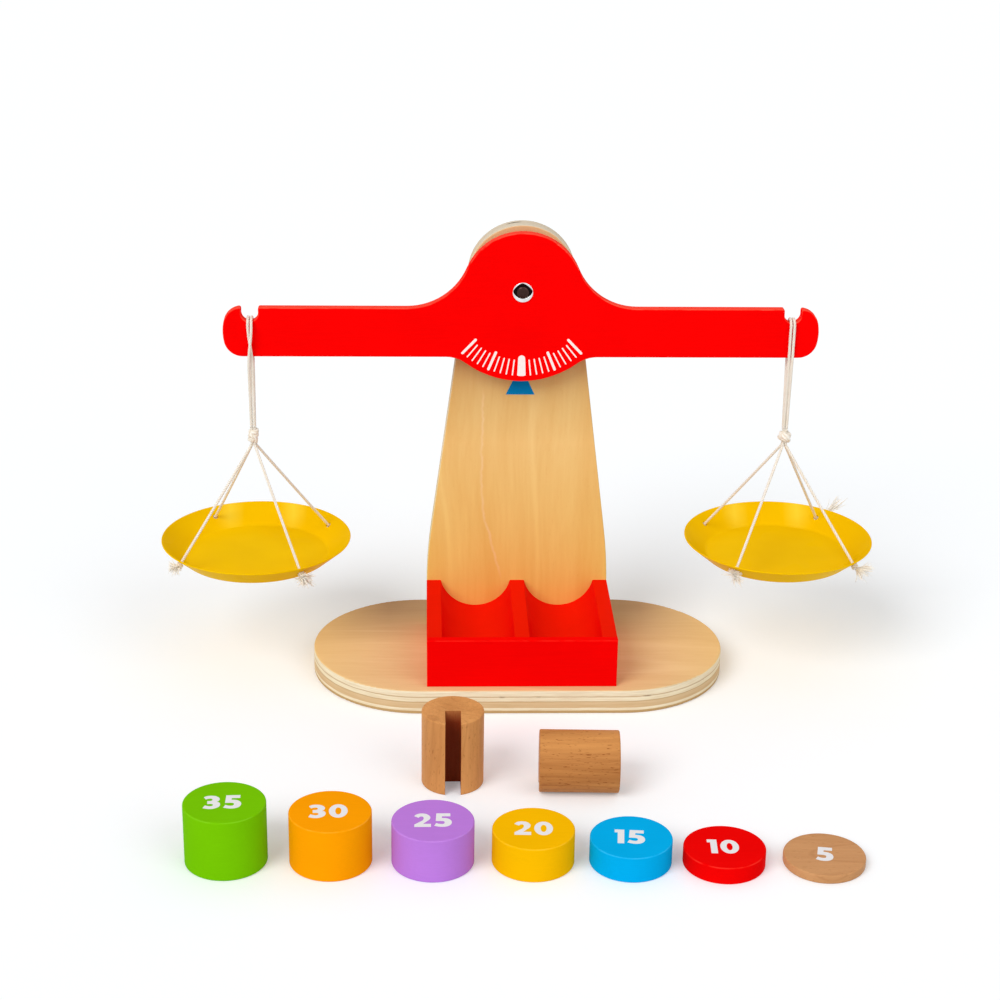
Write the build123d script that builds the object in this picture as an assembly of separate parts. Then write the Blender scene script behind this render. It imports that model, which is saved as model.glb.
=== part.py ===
from build123d import *
import math
import os

# Wooden toy balance scale, in millimetres. X runs along the beam, Y away from the child, Z up.
# The origin is on the table, under the middle of the base plate.

overrun = 2.0                 # how far a cutting solid reaches past what it cuts
press_clearance = 0.02        # metal held in a hole of its own size

# Base plate: a plywood stadium
base_length = 250.0
base_width = 130.0
base_thickness = 15.0
base_edge_radius = 1.0

# Weight rack: a block with two half-round troughs, closed by a board at the front
rack_width = 112.0
rack_height = 30.0
rack_front_y = -59.5
rack_board_thickness = 5.0
rack_block_depth = 82.5
rack_edge_radius = 0.6
trough_depth = 17.0
trough_clearance = 0.5

# Upright: a tapered plywood panel with an arched top, standing against the back of the rack
upright_thickness = 12.0
upright_crown = 37.5           # from the pivot up to the top of the arch
upright_knee_height = 44.0
upright_knee_radius = 300.0
upright_arch_radius = 32.0
upright_edge_radius = 0.8

# Beam
beam_thickness = 6.0
beam_gap = 5.0                # between the beam's back and the upright
beam_edge_radius = 0.8
pivot_height = 234.0
dome_radius = 35.5
shoulder_radius = 38.0
belly_radius = 55.0
belly_blend_radius = 20.0
arm_drop = 10.0               # from the pivot down to the arm's top edge
arm_height = 30.0
arm_corner_radius = 11.0
arm_end_radius = 30.0
notch_spacing = 320.0
beam_end_reach = 16.0         # from the middle of a notch to the beam's end
notch_width = 10.0
notch_depth = 8.5
notch_lip_radius = 1.2

# Pivot hardware
bolt_diameter = 4.0
bolt_head_diameter = 7.6
bolt_head_height = 2.4
bolt_end_length = 1.5
bolt_running_clearance = 0.05
pivot_end_play = 0.2
bush_diameter = 10.0
bush_flange_diameter = 12.4
bush_flange_thickness = 0.8
bush_mouth_diameter = 8.6
bush_seat_depth = 3.6
spacer_diameter = 14.0
washer_diameter = 12.0
washer_thickness = 1.0
nut_width = 7.0
nut_height = 3.2

# Wood screws from beneath
screw_diameter = 4.0
screw_head_diameter = 8.0
screw_head_height = 2.4
screw_tip_length = 5.0
screw_sink = 0.5
upright_screw_length = 40.0
upright_screw_spacing = 64.0
rack_screw_length = 24.0
rack_screw_spacing = 51.5
rack_screw_front_share = 0.5

# Dishes
pan_rim_radius = 57.0
pan_floor_radius = 44.0
pan_depth = 11.0
pan_sheet = 0.9
pan_bend_radius = 4.0
pan_drop = 138.0              # from the notch floor down to the rim
pan_hole_drop = 4.5
pan_hole_diameter = 3.2
pan_hole_count = 4
left_pan_turn = -11.0         # degrees that the dish is turned from square on
right_pan_turn = 8.0

# Cords and knots
cord_diameter = 1.8
easy_bend_share = 0.45        # of the shorter run, for the tangent length of an easy bend
notch_wrap_radius = 1.8       # of the cord's middle line round the edges of the notch floor
knot_drop = 72.0              # from the notch floor down to the knot's middle
knot_radius = 3.8
knot_half_height = 5.2
end_knot_radius = 2.4
strand_start_radius = 1.45    # from the hanger's axis to a strand's middle line, under the knot
strand_start_drop = 5.7       # from the knot's middle down to there
strand_end_past_wall = 0.19   # from the middle of the dish's sheet out to the strand's end

# Weights: thickness goes with the number
weight_diameter = 43.0
weight_unit_thickness = 4.85
weight_edge_radius = 0.8
weight_unit_mark = 5
weight_row_y = -229.5

# Where each marked weight stands, as shares of a weight's diameter from the middle of the row
weight_place_shares = {
    5: (3.50, -0.07),
    10: (2.28, -0.07),
    15: (1.15, -0.02),
    20: (-0.03, 0.0),
    25: (-1.24, 0.01),
    30: (-2.47, 0.04),
    35: (-3.73, 0.07),
}

# Slotted cylinders that ride on the arms
rider_diameter = 34.4
rider_length = 44.0
rider_slot_width = 8.6
rider_slot_depth = 16.0
rider_edge_radius = 0.8
standing_rider_place = (-42.0, -144.5)
lying_rider_place = (27.5, -153.0)
lying_rider_turn = -2.0

# Places worked out from the sizes above
beam_length = notch_spacing + 2 * beam_end_reach
upright_height = pivot_height + upright_crown - base_thickness
rack_back_y = rack_front_y + rack_board_thickness + rack_block_depth
upright_back_y = rack_back_y + upright_thickness
beam_back_y = rack_back_y - beam_gap
beam_middle_y = beam_back_y - beam_thickness / 2
beam_front_y = beam_back_y - beam_thickness
trough_radius = weight_diameter / 2 + trough_clearance
notch_floor = pivot_height - arm_drop - notch_depth
rider_sit = math.sqrt((rider_diameter / 2) ** 2 - (rider_slot_width / 2) ** 2)

# A folded cord's route, from the knot up the front, over the notch floor and down the back.
# It is measured from the middle of the notch floor, and the second cord is its mirror image in X.
loop_route = [
    (1.0, -1.05, -66.5),
    (1.05, -4.2, -25.0),
    (1.15, -4.3, -6.0),
    (1.2, -4.8, 1.7),
    (1.2, 4.8, 1.7),
    (1.15, 4.3, -6.0),
    (1.05, 4.2, -25.0),
    (1.0, 1.05, -66.5),
]

# The dish's sloping wall: its angle, and the middle of a cord hole on it, as distance from the hanger's axis
# and height from the notch floor.
pan_slope = math.atan2(pan_depth, pan_rim_radius - pan_floor_radius)
hole_radius = pan_rim_radius - pan_hole_drop / math.tan(pan_slope)
hole_height = -pan_drop - pan_hole_drop

# One strand's route in the same terms, from under the knot into its hole.
strand_route = [
    (strand_start_radius, -knot_drop - strand_start_drop),
    (
        hole_radius + strand_end_past_wall * math.sin(pan_slope),
        hole_height - strand_end_past_wall * math.cos(pan_slope),
    ),
]


def corners_at(face, places):
    """The corners of a flat face that stand nearest to the given places."""
    corners = face.vertices()
    return [min(corners, key=lambda corner: math.dist((corner.X, corner.Y), place)) for place in places]


def eased(solid, radius):
    """Round the edges of a board's two broad faces, which lie across Y."""
    faces = solid.faces().sort_by(Axis.Y)
    return fillet(faces[0].edges() + faces[-1].edges(), radius)


def board(outline, front_y, thickness):
    """A board cut to an outline drawn in X and Z, with its front at front_y."""
    face = Plane.XZ * outline
    return Pos(0, front_y + thickness, 0) * extrude(face, thickness)


def round_along_y(diameter, front_y, back_y, x, z):
    turned = Rot(90, 0, 0) * Cylinder(diameter / 2, back_y - front_y)
    return Pos(x, (front_y + back_y) / 2, z) * turned


def screw_shape(length, clearance=0.0):
    """A countersunk wood screw pointing up, with its head's face at z = 0."""
    shank = screw_diameter / 2 + clearance
    head = screw_head_diameter / 2 + clearance
    tip = length + clearance
    profile = Polyline(
        (0, 0),
        (head, 0),
        (shank, screw_head_height),
        (shank, tip - screw_tip_length),
        (0, tip),
        (0, 0),
    )
    return revolve(Plane.XZ * make_face(profile), Axis.Z)


def screw_places():
    """Where each pair of screws stands, with its length."""
    upright_y = rack_back_y + upright_thickness / 2
    rack_y = rack_front_y + rack_board_thickness + rack_screw_front_share * rack_block_depth
    upright_pair = [(side * upright_screw_spacing / 2, upright_y) for side in (-1, 1)]
    rack_pair = [(side * rack_screw_spacing / 2, rack_y) for side in (-1, 1)]
    return {
        "upright_screws": (upright_pair, upright_screw_length),
        "rack_screws": (rack_pair, rack_screw_length),
    }


def screws(name, clearance=0.0):
    places, length = screw_places()[name]
    return [Pos(x, y, screw_sink) * screw_shape(length, clearance) for x, y in places]


def screw_wells():
    """The shallow wells under the screw heads, open at the base's underside."""
    well = Cylinder(screw_head_diameter / 2 + press_clearance, 2 * screw_sink)
    return [Pos(x, y, 0) * well for places, _ in screw_places().values() for x, y in places]


def make_base_plate():
    plate = extrude(SlotOverall(base_length, base_width), base_thickness)
    rims = plate.faces().sort_by(Axis.Z)
    plate = fillet(rims[0].edges() + rims[-1].edges(), base_edge_radius)
    for name in screw_places():
        for hole in screws(name, press_clearance):
            plate -= hole
    for well in screw_wells():
        plate -= well
    return plate


def make_rack_block():
    front = rack_front_y + rack_board_thickness
    block = Pos(0, front, base_thickness) * Box(
        rack_width, rack_block_depth, rack_height, align=(Align.CENTER, Align.MIN, Align.MIN)
    )
    half_chord = math.sqrt(trough_radius ** 2 - (trough_radius - trough_depth) ** 2)
    wall = (rack_width - 4 * half_chord) / 3
    axis_height = base_thickness + rack_height - trough_depth + trough_radius
    for side in (-1, 1):
        x = side * (wall / 2 + half_chord)
        block -= round_along_y(2 * trough_radius, front - overrun, rack_back_y + overrun, x, axis_height)
    wall_top_edges = block.edges().filter_by(Axis.Y).sort_by(Axis.Z)[-6:]
    block = fillet(wall_top_edges, rack_edge_radius)
    for hole in screws("rack_screws", press_clearance):
        block -= hole
    return block


def make_rack_front():
    blank = Pos(0, rack_front_y, base_thickness) * Box(
        rack_width, rack_board_thickness, rack_height, align=(Align.CENTER, Align.MIN, Align.MIN)
    )
    face = blank.faces().sort_by(Axis.Y)[0]
    return fillet(face.edges(), rack_edge_radius)


def upright_outline():
    """Foot as wide as the rack, a slow bend, straight tapering sides and a round arch they run into."""
    foot = rack_width / 2
    knee = base_thickness + upright_knee_height
    arch = base_thickness + upright_height - upright_arch_radius
    reach = math.hypot(foot, arch - knee)
    lean = math.atan2(foot, arch - knee) - math.asin(upright_arch_radius / reach)
    tangent = (upright_arch_radius * math.cos(lean), arch + upright_arch_radius * math.sin(lean))
    sides = Polyline((-foot, knee), (-foot, base_thickness), (foot, base_thickness), (foot, knee), tangent)
    arc = ThreePointArc(tangent, (0, arch + upright_arch_radius), (-tangent[0], tangent[1]))
    closing = Line((-tangent[0], tangent[1]), (-foot, knee))
    panel = make_face([sides, arc, closing])
    return fillet(corners_at(panel, [(-foot, knee), (foot, knee)]), upright_knee_radius)


def make_upright():
    panel = eased(board(upright_outline(), rack_back_y, upright_thickness), upright_edge_radius)
    hole = bolt_diameter + 2 * bolt_running_clearance
    panel -= round_along_y(hole, rack_back_y - overrun, upright_back_y + overrun, 0, pivot_height)
    for pilot in screws("upright_screws", press_clearance):
        panel -= pilot
    return panel


def arm_end():
    """Right end of the arm: two corner arcs and a flatter end arc, tangent to each other."""
    middle = -arm_drop - arm_height / 2
    rise = arm_height / 2 - arm_corner_radius
    step = arm_end_radius - arm_corner_radius
    centre_x = beam_length / 2 - arm_end_radius
    corner_x = centre_x + math.sqrt(step ** 2 - rise ** 2)
    blend = math.degrees(math.asin(rise / step))
    top = CenterArc((corner_x, middle + rise), arm_corner_radius, blend, 90 - blend)
    end = CenterArc((centre_x, middle), arm_end_radius, -blend, 2 * blend)
    bottom = CenterArc((corner_x, middle - rise), arm_corner_radius, -90, 90 - blend)
    return corner_x, [top, end, bottom]


def right_half_outline():
    """Beam outline from the top of the dome round to the bottom of the belly, about the pivot."""
    shoulder_z = shoulder_radius - arm_drop
    shoulder_x = math.sqrt((dome_radius + shoulder_radius) ** 2 - shoulder_z ** 2)
    dome_end = math.degrees(math.atan2(shoulder_z, shoulder_x))
    blend_z = -arm_drop - arm_height - belly_blend_radius
    blend_x = math.sqrt((belly_radius + belly_blend_radius) ** 2 - blend_z ** 2)
    belly_end = math.degrees(math.atan2(blend_z, blend_x))
    corner_x, end_arcs = arm_end()
    return [
        CenterArc((0, 0), dome_radius, dome_end, 90 - dome_end),
        CenterArc((shoulder_x, shoulder_z), shoulder_radius, 180 + dome_end, 90 - dome_end),
        Line((shoulder_x, -arm_drop), (corner_x, -arm_drop)),
        *end_arcs,
        Line((corner_x, -arm_drop - arm_height), (blend_x, -arm_drop - arm_height)),
        CenterArc((blend_x, blend_z), belly_blend_radius, 90, 90 + belly_end),
        CenterArc((0, 0), belly_radius, -90, 90 + belly_end),
    ]


def notch_cutter(side):
    """A U-shaped notch, open at the top, with a full round floor."""
    radius = notch_width / 2
    floor = -arm_drop - notch_depth
    height = notch_depth - radius + overrun
    slot = Pos(side * notch_spacing / 2, floor + radius) * Circle(radius)
    mouth = Pos(side * notch_spacing / 2, floor + radius + height / 2) * Rectangle(notch_width, height)
    return slot + mouth


def beam_outline():
    right = right_half_outline()
    left = [mirror(edge, about=Plane.YZ) for edge in right]
    face = make_face(right + left)
    for side in (-1, 1):
        face -= notch_cutter(side)
    lips = [
        (side * notch_spacing / 2 + edge * notch_width / 2, -arm_drop)
        for side in (-1, 1) for edge in (-1, 1)
    ]
    return fillet(corners_at(face, lips), notch_lip_radius)


def make_beam():
    beam = Pos(0, 0, pivot_height) * board(beam_outline(), beam_front_y, beam_thickness)
    beam = eased(beam, beam_edge_radius)
    hole = bush_diameter + 2 * press_clearance
    return beam - round_along_y(hole, beam_front_y - overrun, beam_back_y + overrun, 0, pivot_height)


def turned_about_pivot(points):
    """A turned part about the pivot's axis, from points given as radius and Y."""
    profile = make_face(Polyline(*points, points[0]))
    return Pos(0, 0, pivot_height) * revolve(profile, Axis.Y)


def make_pivot_bush():
    front = beam_front_y - bush_flange_thickness
    seat = beam_front_y + bush_seat_depth
    bore = bolt_diameter / 2 + bolt_running_clearance
    seat_bore = bolt_head_diameter / 2 + bolt_running_clearance
    bush = turned_about_pivot([
        (bush_mouth_diameter / 2, front),
        (bush_flange_diameter / 2, front),
        (bush_flange_diameter / 2, beam_front_y),
        (bush_diameter / 2, beam_front_y),
        (bush_diameter / 2, beam_back_y),
        (bore, beam_back_y),
        (bore, seat),
        (seat_bore, seat),
        (seat_bore, beam_front_y),
    ])
    rim = bush.faces().sort_by(Axis.Y)[0].outer_wire().edges()
    return fillet(rim, bush_flange_thickness / 2)


def make_pivot_bolt():
    seat = beam_front_y + bush_seat_depth - pivot_end_play
    end = upright_back_y + washer_thickness + nut_height + bolt_end_length
    head = turned_about_pivot([
        (0, seat - bolt_head_height),
        (bolt_head_diameter / 2, seat - bolt_head_height),
        (bolt_head_diameter / 2, seat),
        (bolt_diameter / 2, seat),
        (bolt_diameter / 2, end),
        (0, end),
    ])
    crown = head.faces().sort_by(Axis.Y)[0].edges()
    return fillet(crown, bolt_head_height / 2)


def make_pivot_spacer():
    front = beam_back_y + pivot_end_play
    bore = bolt_diameter + 2 * bolt_running_clearance
    sleeve = round_along_y(spacer_diameter, front, rack_back_y, 0, pivot_height)
    return sleeve - round_along_y(bore, front - overrun, rack_back_y + overrun, 0, pivot_height)


def make_back_washer():
    back = upright_back_y + washer_thickness
    bore = bolt_diameter + 2 * bolt_running_clearance
    disc = round_along_y(washer_diameter, upright_back_y, back, 0, pivot_height)
    return disc - round_along_y(bore, upright_back_y - overrun, back + overrun, 0, pivot_height)


def make_back_nut():
    front = upright_back_y + washer_thickness
    back = front + nut_height
    hexagon = RegularPolygon(nut_width / 2, 6, major_radius=False)
    nut = Pos(0, 0, pivot_height) * board(hexagon, front, nut_height)
    bore = bolt_diameter + 2 * press_clearance
    return nut - round_along_y(bore, front - overrun, back + overrun, 0, pivot_height)


def hanger_place(side):
    """The middle of a notch's floor, which a hanger's own sizes are measured from."""
    return (side * notch_spacing / 2, beam_middle_y, notch_floor)


def bend_radius(before, corner, after):
    """The largest easy arc at a corner of a cord's route."""
    arriving = Vector(*corner) - Vector(*before)
    leaving = Vector(*after) - Vector(*corner)
    half_turn = math.radians(arriving.get_angle(leaving)) / 2
    return easy_bend_share * min(arriving.length, leaving.length) / math.tan(half_turn)


def loop_cord(side, hand):
    """One folded cord of a hanger. It wraps the edges of the notch floor, and its other bends are easy."""
    points = [(hand * x, y, z) for x, y, z in loop_route]
    wraps = [index for index, point in enumerate(points) if point[2] > 0]
    radii = []
    for index in range(1, len(points) - 1):
        easy = bend_radius(*points[index - 1:index + 2])
        radii.append(notch_wrap_radius if index in wraps else easy)
    path = FilletPolyline(*points, radius=radii)
    section = Plane(path @ 0, z_dir=path % 0) * Circle(cord_diameter / 2)
    tube = sweep(section, path=path)
    print("loop cord radii", [round(radius, 1) for radius in radii], "length", round(path.length, 1))
    print("  volume over section times length", round(tube.volume / (section.area * path.length), 4))
    return Pos(*hanger_place(side)) * tube


def egg(radius, half_height):
    """A drawn-up knot as a smooth egg, upright about Z."""
    arc = EllipticalCenterArc((0, 0), radius, half_height, start_angle=-90, arc_size=180)
    profile = make_face([arc, Line((0, half_height), (0, -half_height))])
    return revolve(Plane.XZ * profile, Axis.Z)


def make_knot(side):
    x, y, z = hanger_place(side)
    return Pos(x, y, z - knot_drop) * egg(knot_radius, knot_half_height)


def strand_angles(side):
    turn = left_pan_turn if side < 0 else right_pan_turn
    step = 360 / pan_hole_count
    return [turn + step / 2 + step * index for index in range(pan_hole_count)]


def strand_path():
    return Line(*[(radius, 0, height) for radius, height in strand_route])


def make_strand(side, angle):
    path = strand_path()
    tube = sweep(Plane(path @ 0, z_dir=path % 0) * Circle(cord_diameter / 2), path=path)
    return Pos(*hanger_place(side)) * Rot(0, 0, angle) * tube


def make_end_knots(side):
    """A small round knot on each strand, outside the dish, with a flat where the strand enters it."""
    path = strand_path()
    way = path % 1
    flat = math.sqrt(end_knot_radius ** 2 - (cord_diameter / 2) ** 2)
    ball = split(Sphere(end_knot_radius), bisect_by=Plane.XY.offset(-flat), keep=Keep.TOP)
    knot = Plane(path @ 1 + way * flat, z_dir=way) * ball
    place = Pos(*hanger_place(side))
    return Compound([place * Rot(0, 0, angle) * knot for angle in strand_angles(side)])


def make_pan(side):
    """A pressed dish: flat floor, a bend, and a sloping wall with a rounded rim and four cord holes."""
    line = FilletPolyline(
        (0, -pan_depth), (pan_floor_radius, -pan_depth), (pan_rim_radius, 0), radius=pan_bend_radius
    )
    sheet = offset(line, pan_sheet / 2, side=Side.BOTH)
    profile = split(make_face(sheet), bisect_by=Plane.YZ, keep=Keep.TOP)
    dish = revolve(Plane.XZ * profile, Axis.Z)
    square_to_wall = Pos(hole_radius, 0, -pan_hole_drop) * Rot(0, -math.degrees(pan_slope), 0)
    drill = square_to_wall * Cylinder(pan_hole_diameter / 2, pan_sheet + 2 * overrun)
    for angle in strand_angles(side):
        dish -= Rot(0, 0, angle) * drill
    x, y, z = hanger_place(side)
    return Pos(x, y, z - pan_drop) * dish


def make_weight(mark):
    thickness = weight_unit_thickness * mark / weight_unit_mark
    disc = Cylinder(weight_diameter / 2, thickness, align=(Align.CENTER, Align.CENTER, Align.MIN))
    disc = fillet(disc.edges().filter_by(GeomType.CIRCLE), weight_edge_radius)
    x_share, y_share = weight_place_shares[mark]
    return Pos(x_share * weight_diameter, weight_row_y + y_share * weight_diameter, 0) * disc


def rider_shape():
    """A cylinder standing on its end, with a slot for the arm cut in from the front over its whole length."""
    body = Cylinder(rider_diameter / 2, rider_length)
    body = fillet(body.edges().filter_by(GeomType.CIRCLE), rider_edge_radius)
    depth = rider_slot_depth + overrun
    slot = Pos(0, -rider_diameter / 2 + rider_slot_depth, 0) * Box(
        rider_slot_width, depth, rider_length + overrun, align=(Align.CENTER, Align.MAX, Align.CENTER)
    )
    return body - slot


def make_standing_rider():
    x, y = standing_rider_place
    return Pos(x, y, rider_length / 2) * rider_shape()


def make_lying_rider():
    """On its side, turned a little from X, with the slot down: it stands on the slot's two edges."""
    x, y = lying_rider_place
    return Pos(x, y, rider_sit) * Rot(0, 0, lying_rider_turn) * Rot(90, 0, 0) * Rot(0, 90, 0) * rider_shape()


def all_parts():
    parts = {
        "base_plate": make_base_plate(),
        "rack_block": make_rack_block(),
        "rack_front": make_rack_front(),
        "upright": make_upright(),
        "upright_screws": Compound(screws("upright_screws")),
        "rack_screws": Compound(screws("rack_screws")),
        "pivot_bolt": make_pivot_bolt(),
        "pivot_spacer": make_pivot_spacer(),
        "back_washer": make_back_washer(),
        "back_nut": make_back_nut(),
        "beam": make_beam(),
        "pivot_bush": make_pivot_bush(),
        "rider_standing": make_standing_rider(),
        "rider_lying": make_lying_rider(),
    }
    for name, side in (("left", -1), ("right", 1)):
        parts[name + "_loop_cord_1"] = loop_cord(side, -1)
        parts[name + "_loop_cord_2"] = loop_cord(side, 1)
        parts[name + "_knot"] = make_knot(side)
        parts[name + "_pan"] = make_pan(side)
        parts[name + "_end_knots"] = make_end_knots(side)
        for index, angle in enumerate(strand_angles(side)):
            parts[f"{name}_strand_{index + 1}"] = make_strand(side, angle)
    for mark in weight_place_shares:
        parts[f"weight_{mark:02d}"] = make_weight(mark)
    return parts


os.makedirs("parts", exist_ok=True)
for name, shape in all_parts().items():
    export_step(shape, f"parts/{name}.step")
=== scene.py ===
import math
import random
from functools import reduce

import bmesh
import bpy
from mathutils import Matrix, Vector


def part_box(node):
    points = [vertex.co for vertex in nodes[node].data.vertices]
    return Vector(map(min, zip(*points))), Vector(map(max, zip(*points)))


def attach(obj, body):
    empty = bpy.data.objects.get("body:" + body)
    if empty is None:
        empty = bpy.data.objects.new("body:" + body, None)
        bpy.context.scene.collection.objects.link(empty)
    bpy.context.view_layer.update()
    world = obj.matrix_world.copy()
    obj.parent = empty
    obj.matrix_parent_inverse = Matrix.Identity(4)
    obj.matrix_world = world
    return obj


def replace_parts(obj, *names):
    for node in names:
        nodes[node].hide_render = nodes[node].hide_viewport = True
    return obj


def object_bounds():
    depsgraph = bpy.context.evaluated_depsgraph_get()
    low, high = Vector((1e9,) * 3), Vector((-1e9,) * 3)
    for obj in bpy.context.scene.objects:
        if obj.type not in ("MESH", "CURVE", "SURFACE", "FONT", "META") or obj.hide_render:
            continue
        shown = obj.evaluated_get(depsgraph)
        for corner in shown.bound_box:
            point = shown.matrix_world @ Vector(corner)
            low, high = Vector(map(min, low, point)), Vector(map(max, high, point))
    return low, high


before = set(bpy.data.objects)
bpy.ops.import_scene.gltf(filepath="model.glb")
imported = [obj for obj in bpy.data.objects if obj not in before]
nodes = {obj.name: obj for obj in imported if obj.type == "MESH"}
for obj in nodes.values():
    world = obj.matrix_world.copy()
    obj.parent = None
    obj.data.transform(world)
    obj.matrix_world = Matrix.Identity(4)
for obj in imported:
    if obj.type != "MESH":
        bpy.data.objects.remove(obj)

cadLow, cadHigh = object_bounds()          # the solids' own box, before anything is added
mm = 0.001
sides = ("left", "right")


def middleOf(node):
    low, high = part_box(node)
    return (low + high) / 2


pivot = middleOf("pivot_bolt")
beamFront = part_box("beam")[0].y
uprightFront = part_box("upright")[0].y
knotMiddle = {side: middleOf(side + "_knot") for side in sides}


def tone(red, green, blue):
    # a colour as it is read off a screen, made linear
    levels = (((value / 255 + 0.055) / 1.055) ** 2.4 for value in (red, green, blue))
    return (*levels, 1.0)


def putInScene(name, data):
    piece = bpy.data.objects.new(name, data)
    bpy.context.scene.collection.objects.link(piece)
    return piece


# Camera

cameraView = {
    "place": (-0.0594, -1.2052, 0.5952),
    "yaw": -2.24,
    "pitch": 21.92,                     # degrees down
    "roll": 0.86,
    "lens": 78.12,
    "sensor": 36.0,
}


def makeCamera():
    data = bpy.data.cameras.new("studioCamera")
    data.lens = cameraView["lens"]
    data.sensor_width = cameraView["sensor"]
    camera = putInScene("studioCamera", data)
    yaw, pitch, roll = (math.radians(cameraView[name]) for name in ("yaw", "pitch", "roll"))
    ahead = Vector((-math.sin(yaw) * math.cos(pitch), math.cos(yaw) * math.cos(pitch), -math.sin(pitch)))
    level = Vector((math.cos(yaw), math.sin(yaw), 0))
    rise = level.cross(ahead)
    right = level * math.cos(roll) + rise * math.sin(roll)
    up = rise * math.cos(roll) - level * math.sin(roll)
    turn = Matrix((right, up, -ahead)).transposed().to_4x4()
    camera.matrix_world = Matrix.Translation(cameraView["place"]) @ turn
    bpy.context.scene.camera = camera


makeCamera()
print("camera set")


# Node helpers

def feed(socket, value):
    if isinstance(value, bpy.types.NodeSocket):
        socket.id_data.links.new(value, socket)
    else:
        socket.default_value = value


def treeOf(values):
    return next(value.id_data for value in values if isinstance(value, bpy.types.NodeSocket))


def newStep(kind, *values):
    # a node in the tree that the values come from, fed with them in order
    step = treeOf(values).nodes.new("ShaderNode" + kind)
    for socket, value in zip(step.inputs, values):
        feed(socket, value)
    return step


def calc(operation, *values):
    step = newStep("Math", *values)
    step.operation = operation
    return step.outputs[0]


def times(*values):
    return reduce(lambda total, value: calc("MULTIPLY", total, value), values)


def plus(*values):
    return reduce(lambda total, value: calc("ADD", total, value), values)


def minus(first, second):
    return calc("SUBTRACT", first, second)


def apart(first, second):
    # how far two values lie from each other
    return calc("ABSOLUTE", minus(first, second))


def below(value, limit):
    return calc("LESS_THAN", value, limit)


def remap(value, low, high, lowTo=0.0, highTo=1.0):
    return newStep("MapRange", value, low, high, lowTo, highTo).outputs[0]


def noise(vector, scale, detail=2.0, roughness=0.5):
    step = newStep("TexNoise", vector)
    for name, value in (("Scale", scale), ("Detail", detail), ("Roughness", roughness)):
        step.inputs[name].default_value = value
    return step.outputs["Fac"]


def stretch(vector, scale, turn=(0, 0, 0)):
    step = newStep("Mapping", vector)
    step.inputs["Rotation"].default_value = [math.radians(angle) for angle in turn]
    step.inputs["Scale"].default_value = scale
    return step.outputs[0]


def partOf(vector, axis):
    return newStep("SeparateXYZ", vector).outputs[axis]


def blendTones(share, first, second, way="MIX"):
    step = newStep("Mix", share)
    step.data_type = "RGBA"
    step.blend_type = way
    feed(step.inputs[6], first)
    feed(step.inputs[7], second)
    return step.outputs[2]


def ramp(value, stops):
    step = newStep("ValToRGB", value)
    elements = step.color_ramp.elements
    while len(elements) < len(stops):
        elements.new(0.5)
    for element, (place, colour) in zip(elements, stops):
        element.position = place
        element.color = colour
    return step.outputs[0]


def newGroup(name, inputs, outputs):
    tree = bpy.data.node_groups.new(name, "ShaderNodeTree")
    for way, sockets in (("INPUT", inputs), ("OUTPUT", outputs)):
        for label, kind in sockets.items():
            tree.interface.new_socket(name=label, in_out=way, socket_type="NodeSocket" + kind)
    return tree, tree.nodes.new("NodeGroupInput").outputs, tree.nodes.new("NodeGroupOutput").inputs


def useGroup(group, **values):
    step = treeOf(values.values()).nodes.new("ShaderNodeGroup")
    step.node_tree = group
    for label, value in values.items():
        feed(step.inputs[label], value)
    return step.outputs


# Shared effects

# noise patterns: how fine along X, Y and Z, detail, the levels read as 0 and 1, and for one its roughness
patterns = {
    "broadFigure": ((5, 60, 60), 3.0, 0.32, 0.68),
    "fineFibres": ((26, 480, 480), 3.0, 0.3, 0.7, 0.6),
    "pores": ((300, 1500, 1500), 2.0, 0.62, 0.72),
    "paintCloud": (28.0, 2.0, 0.35, 0.65),
    "paintGrain": ((60, 1100, 1100), 2.0, 0.35, 0.65),
    "paintPatch": (160.0, 3.0, 0.35, 0.62),
    "plyStreak": ((70, 70, 1500), 3.0, 0.35, 0.7),
    "plyGap": (62.0, 1.0, 0.62, 0.68),
    "enamelCloud": (22.0, 2.0, 0.35, 0.65),
    "turning": ((300, 3000, 300), 2.0, 0.35, 0.65),
    "cottonDrift": (240.0, 2.0, 0.3, 0.7),
    "inkSpeck": (900.0, 3.0, 0.58, 0.75),
}


def pattern(vector, name):
    scale, detail, low, high, *roughness = patterns[name]
    if isinstance(scale, tuple):
        vector, scale = stretch(vector, scale), 1.0
    return remap(noise(vector, scale, detail, *roughness), low, high)


grainLook = {
    "waver": (6, 14, 14), "aside": 0.03, "upward": 0.02,        # how the fibres wander
    "veins": (2.2, 17, 17), "veinWidth": 0.06,
    "fibreHeight": 0.4,
}


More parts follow.
